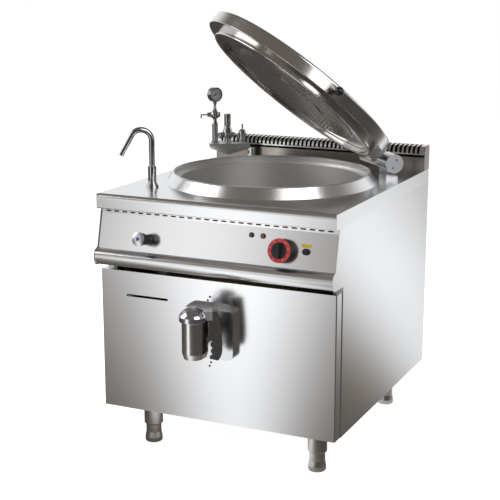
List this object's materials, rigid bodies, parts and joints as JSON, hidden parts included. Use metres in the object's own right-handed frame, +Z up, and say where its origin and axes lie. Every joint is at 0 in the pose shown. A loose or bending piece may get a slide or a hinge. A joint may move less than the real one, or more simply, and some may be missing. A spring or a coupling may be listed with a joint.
{
  "type": "steam jacketed kettle",
  "caption": "Floor-standing steam jacketed kettle: round pan in a square cabinet, hinged balanced lid, swivel water spout, front drain tap, jacket pressure fittings and adjustable feet.",
  "frame": {"origin": "on the floor under the cabinet's centre", "axes": "+X to the right seen from the front, -Y out of the front, +Z up"},
  "size_m": [0.8065, 1.0525, 1.4],
  "materials": {
    "worktop": "satin brushed",
    "cabinet": "satin brushed",
    "vessel": "polished",
    "jacket": "mill",
    "lagging": "mineral wool",
    "frame_steel": "galvanised",
    "chrome": "polished",
    "black_plastic": "moulded",
    "scale_red": "printed",
    "lens_green": "translucent",
    "lens_amber": "translucent",
    "dial_white": "enamel",
    "needle_black": "matt",
    "gauge_glass": "clear",
    "valve_metal": "nickel plated",
    "copper": "plain copper",
    "heater": "oxidised"
  },
  "bodies": {
    "cabinet": {"worktop": "worktop", "side_panels": "cabinet", "back_panel": "cabinet", "base_tray": "cabinet", "inner_frame": "frame_steel", "front_panel": "cabinet", "control_panel": "cabinet", "bumper_rail": "worktop", "fascia_end_caps": "cabinet", "flue_riser": "cabinet", "flue_grille": "worktop", "inner_vessel": "vessel", "jacket_shell": "jacket", "lagging": "lagging", "heating_elements": "heater", "drain_pipe": "vessel", "drain_cover": "cabinet", "drain_cover_screws": "chrome", "drain_tap_body": "chrome", "hinge_housing": "worktop", "hinge_cap": "worktop", "spout_base": "chrome", "steam_header": "cabinet", "gauge_cock_body": "valve_metal", "gauge_case": "valve_metal", "gauge_dial": "dial_white", "gauge_glass": "gauge_glass", "safety_valve_body": "valve_metal", "vent_valve_body": "valve_metal", "thermostat_body": "black_plastic", "pilot_lamp_green": "lens_green", "pilot_lamp_amber": "lens_amber", "reset_bezel": "black_plastic", "water_valve_body": "valve_metal", "water_pipes": "copper", "level_tap_body": "valve_metal", "foot_sleeves": "cabinet", "cable_gland": "black_plastic"},
    "lid": {"lid_shell": "worktop", "lid_liner": "vessel", "lid_arm": "worktop", "lid_knob_stem": "chrome", "lid_knob": "black_plastic"},
    "drain_valve": {"drain_plug": "chrome", "drain_handle_arm": "chrome", "drain_handle_grip": "black_plastic"},
    "spout": {"spout_pipe": "chrome"},
    "gauge_cock": {"gauge_cock_lever": "valve_metal"},
    "gauge_pointer": {"gauge_needle": "needle_black"},
    "safety_cap": {"safety_valve_cap": "valve_metal"},
    "vent_pin": {"vent_valve_pin": "chrome"},
    "thermostat": {"thermostat_knob": "black_plastic", "thermostat_scale": "scale_red"},
    "reset": {"reset_button": "black_plastic"},
    "water_handle": {"water_knob": "chrome"},
    "level_lever": {"level_tap_lever": "cabinet"},
    "foot_fl": {"foot_front_left": "chrome"},
    "foot_fr": {"foot_front_right": "chrome"},
    "foot_bl": {"foot_back_left": "chrome"},
    "foot_br": {"foot_back_right": "chrome"}
  },
  "joints": [
    {"name": "lid_hinge", "type": "hinge", "parent": "cabinet", "child": "lid", "pos_m": [0.28262, 0.26475, 0.9035], "axis": [-0.6891, 0.7247, 0], "range_deg": [-40.05, 45]},
    {"name": "spout_swivel", "type": "hinge", "parent": "cabinet", "child": "spout", "pos_m": [-0.3013, -0.2652, 0.9], "axis": [0, 0, 1], "continuous": true},
    {"name": "drain_handle_turn", "type": "hinge", "parent": "cabinet", "child": "drain_valve", "pos_m": [-0.015, -0.54, 0.45], "axis": [0, 0, 1], "range_deg": [-90, 0]},
    {"name": "gauge_cock_turn", "type": "hinge", "parent": "cabinet", "child": "gauge_cock", "pos_m": [-0.35965, 0.3029, 1.017], "axis": [-0.866, -0.5, 0], "range_deg": [0, 90]},
    {"name": "gauge_pointer_turn", "type": "hinge", "parent": "cabinet", "child": "gauge_pointer", "pos_m": [-0.35965, 0.3029, 1.0895], "axis": [0.866, -0.5, 0], "range_deg": [-270, 0], "stiffness_Nm_per_rad": 0.001, "springref_deg": 1.15},
    {"name": "safety_cap_lift", "type": "slide", "parent": "cabinet", "child": "safety_cap", "axis": [0, 0, 1], "range_m": [0, 0.004], "stiffness_N_per_m": 2000, "springref_m": -0.002},
    {"name": "vent_pin_press", "type": "slide", "parent": "cabinet", "child": "vent_pin", "axis": [0, 0, -1], "range_m": [0, 0.005], "stiffness_N_per_m": 300, "springref_m": -0.001},
    {"name": "thermostat_turn", "type": "hinge", "parent": "cabinet", "child": "thermostat", "pos_m": [0.228, -0.43397, 0.726], "axis": [0, -0.9712, 0.2384], "range_deg": [-270, 0]},
    {"name": "reset_press", "type": "slide", "parent": "cabinet", "child": "reset", "axis": [0, 0.9712, -0.2384], "range_m": [0, 0.002], "stiffness_N_per_m": 600, "springref_m": -0.0005},
    {"name": "water_knob_turn", "type": "hinge", "parent": "cabinet", "child": "water_handle", "pos_m": [-0.229, -0.43618, 0.717], "axis": [0, -0.9712, 0.2384], "range_deg": [0, 540]},
    {"name": "level_lever_turn", "type": "hinge", "parent": "cabinet", "child": "level_lever", "pos_m": [-0.2342, -0.3, 0.5305], "axis": [0, 0, 1], "range_deg": [0, 49]},
    {"name": "foot_front_left_height", "type": "slide", "parent": "cabinet", "child": "foot_fl", "axis": [0, 0, -1], "range_m": [0, 0.03]},
    {"name": "foot_front_right_height", "type": "slide", "parent": "cabinet", "child": "foot_fr", "axis": [0, 0, -1], "range_m": [0, 0.03]},
    {"name": "foot_back_left_height", "type": "slide", "parent": "cabinet", "child": "foot_bl", "axis": [0, 0, -1], "range_m": [0, 0.03]},
    {"name": "foot_back_right_height", "type": "slide", "parent": "cabinet", "child": "foot_br", "axis": [0, 0, -1], "range_m": [0, 0.03]}
  ]
}
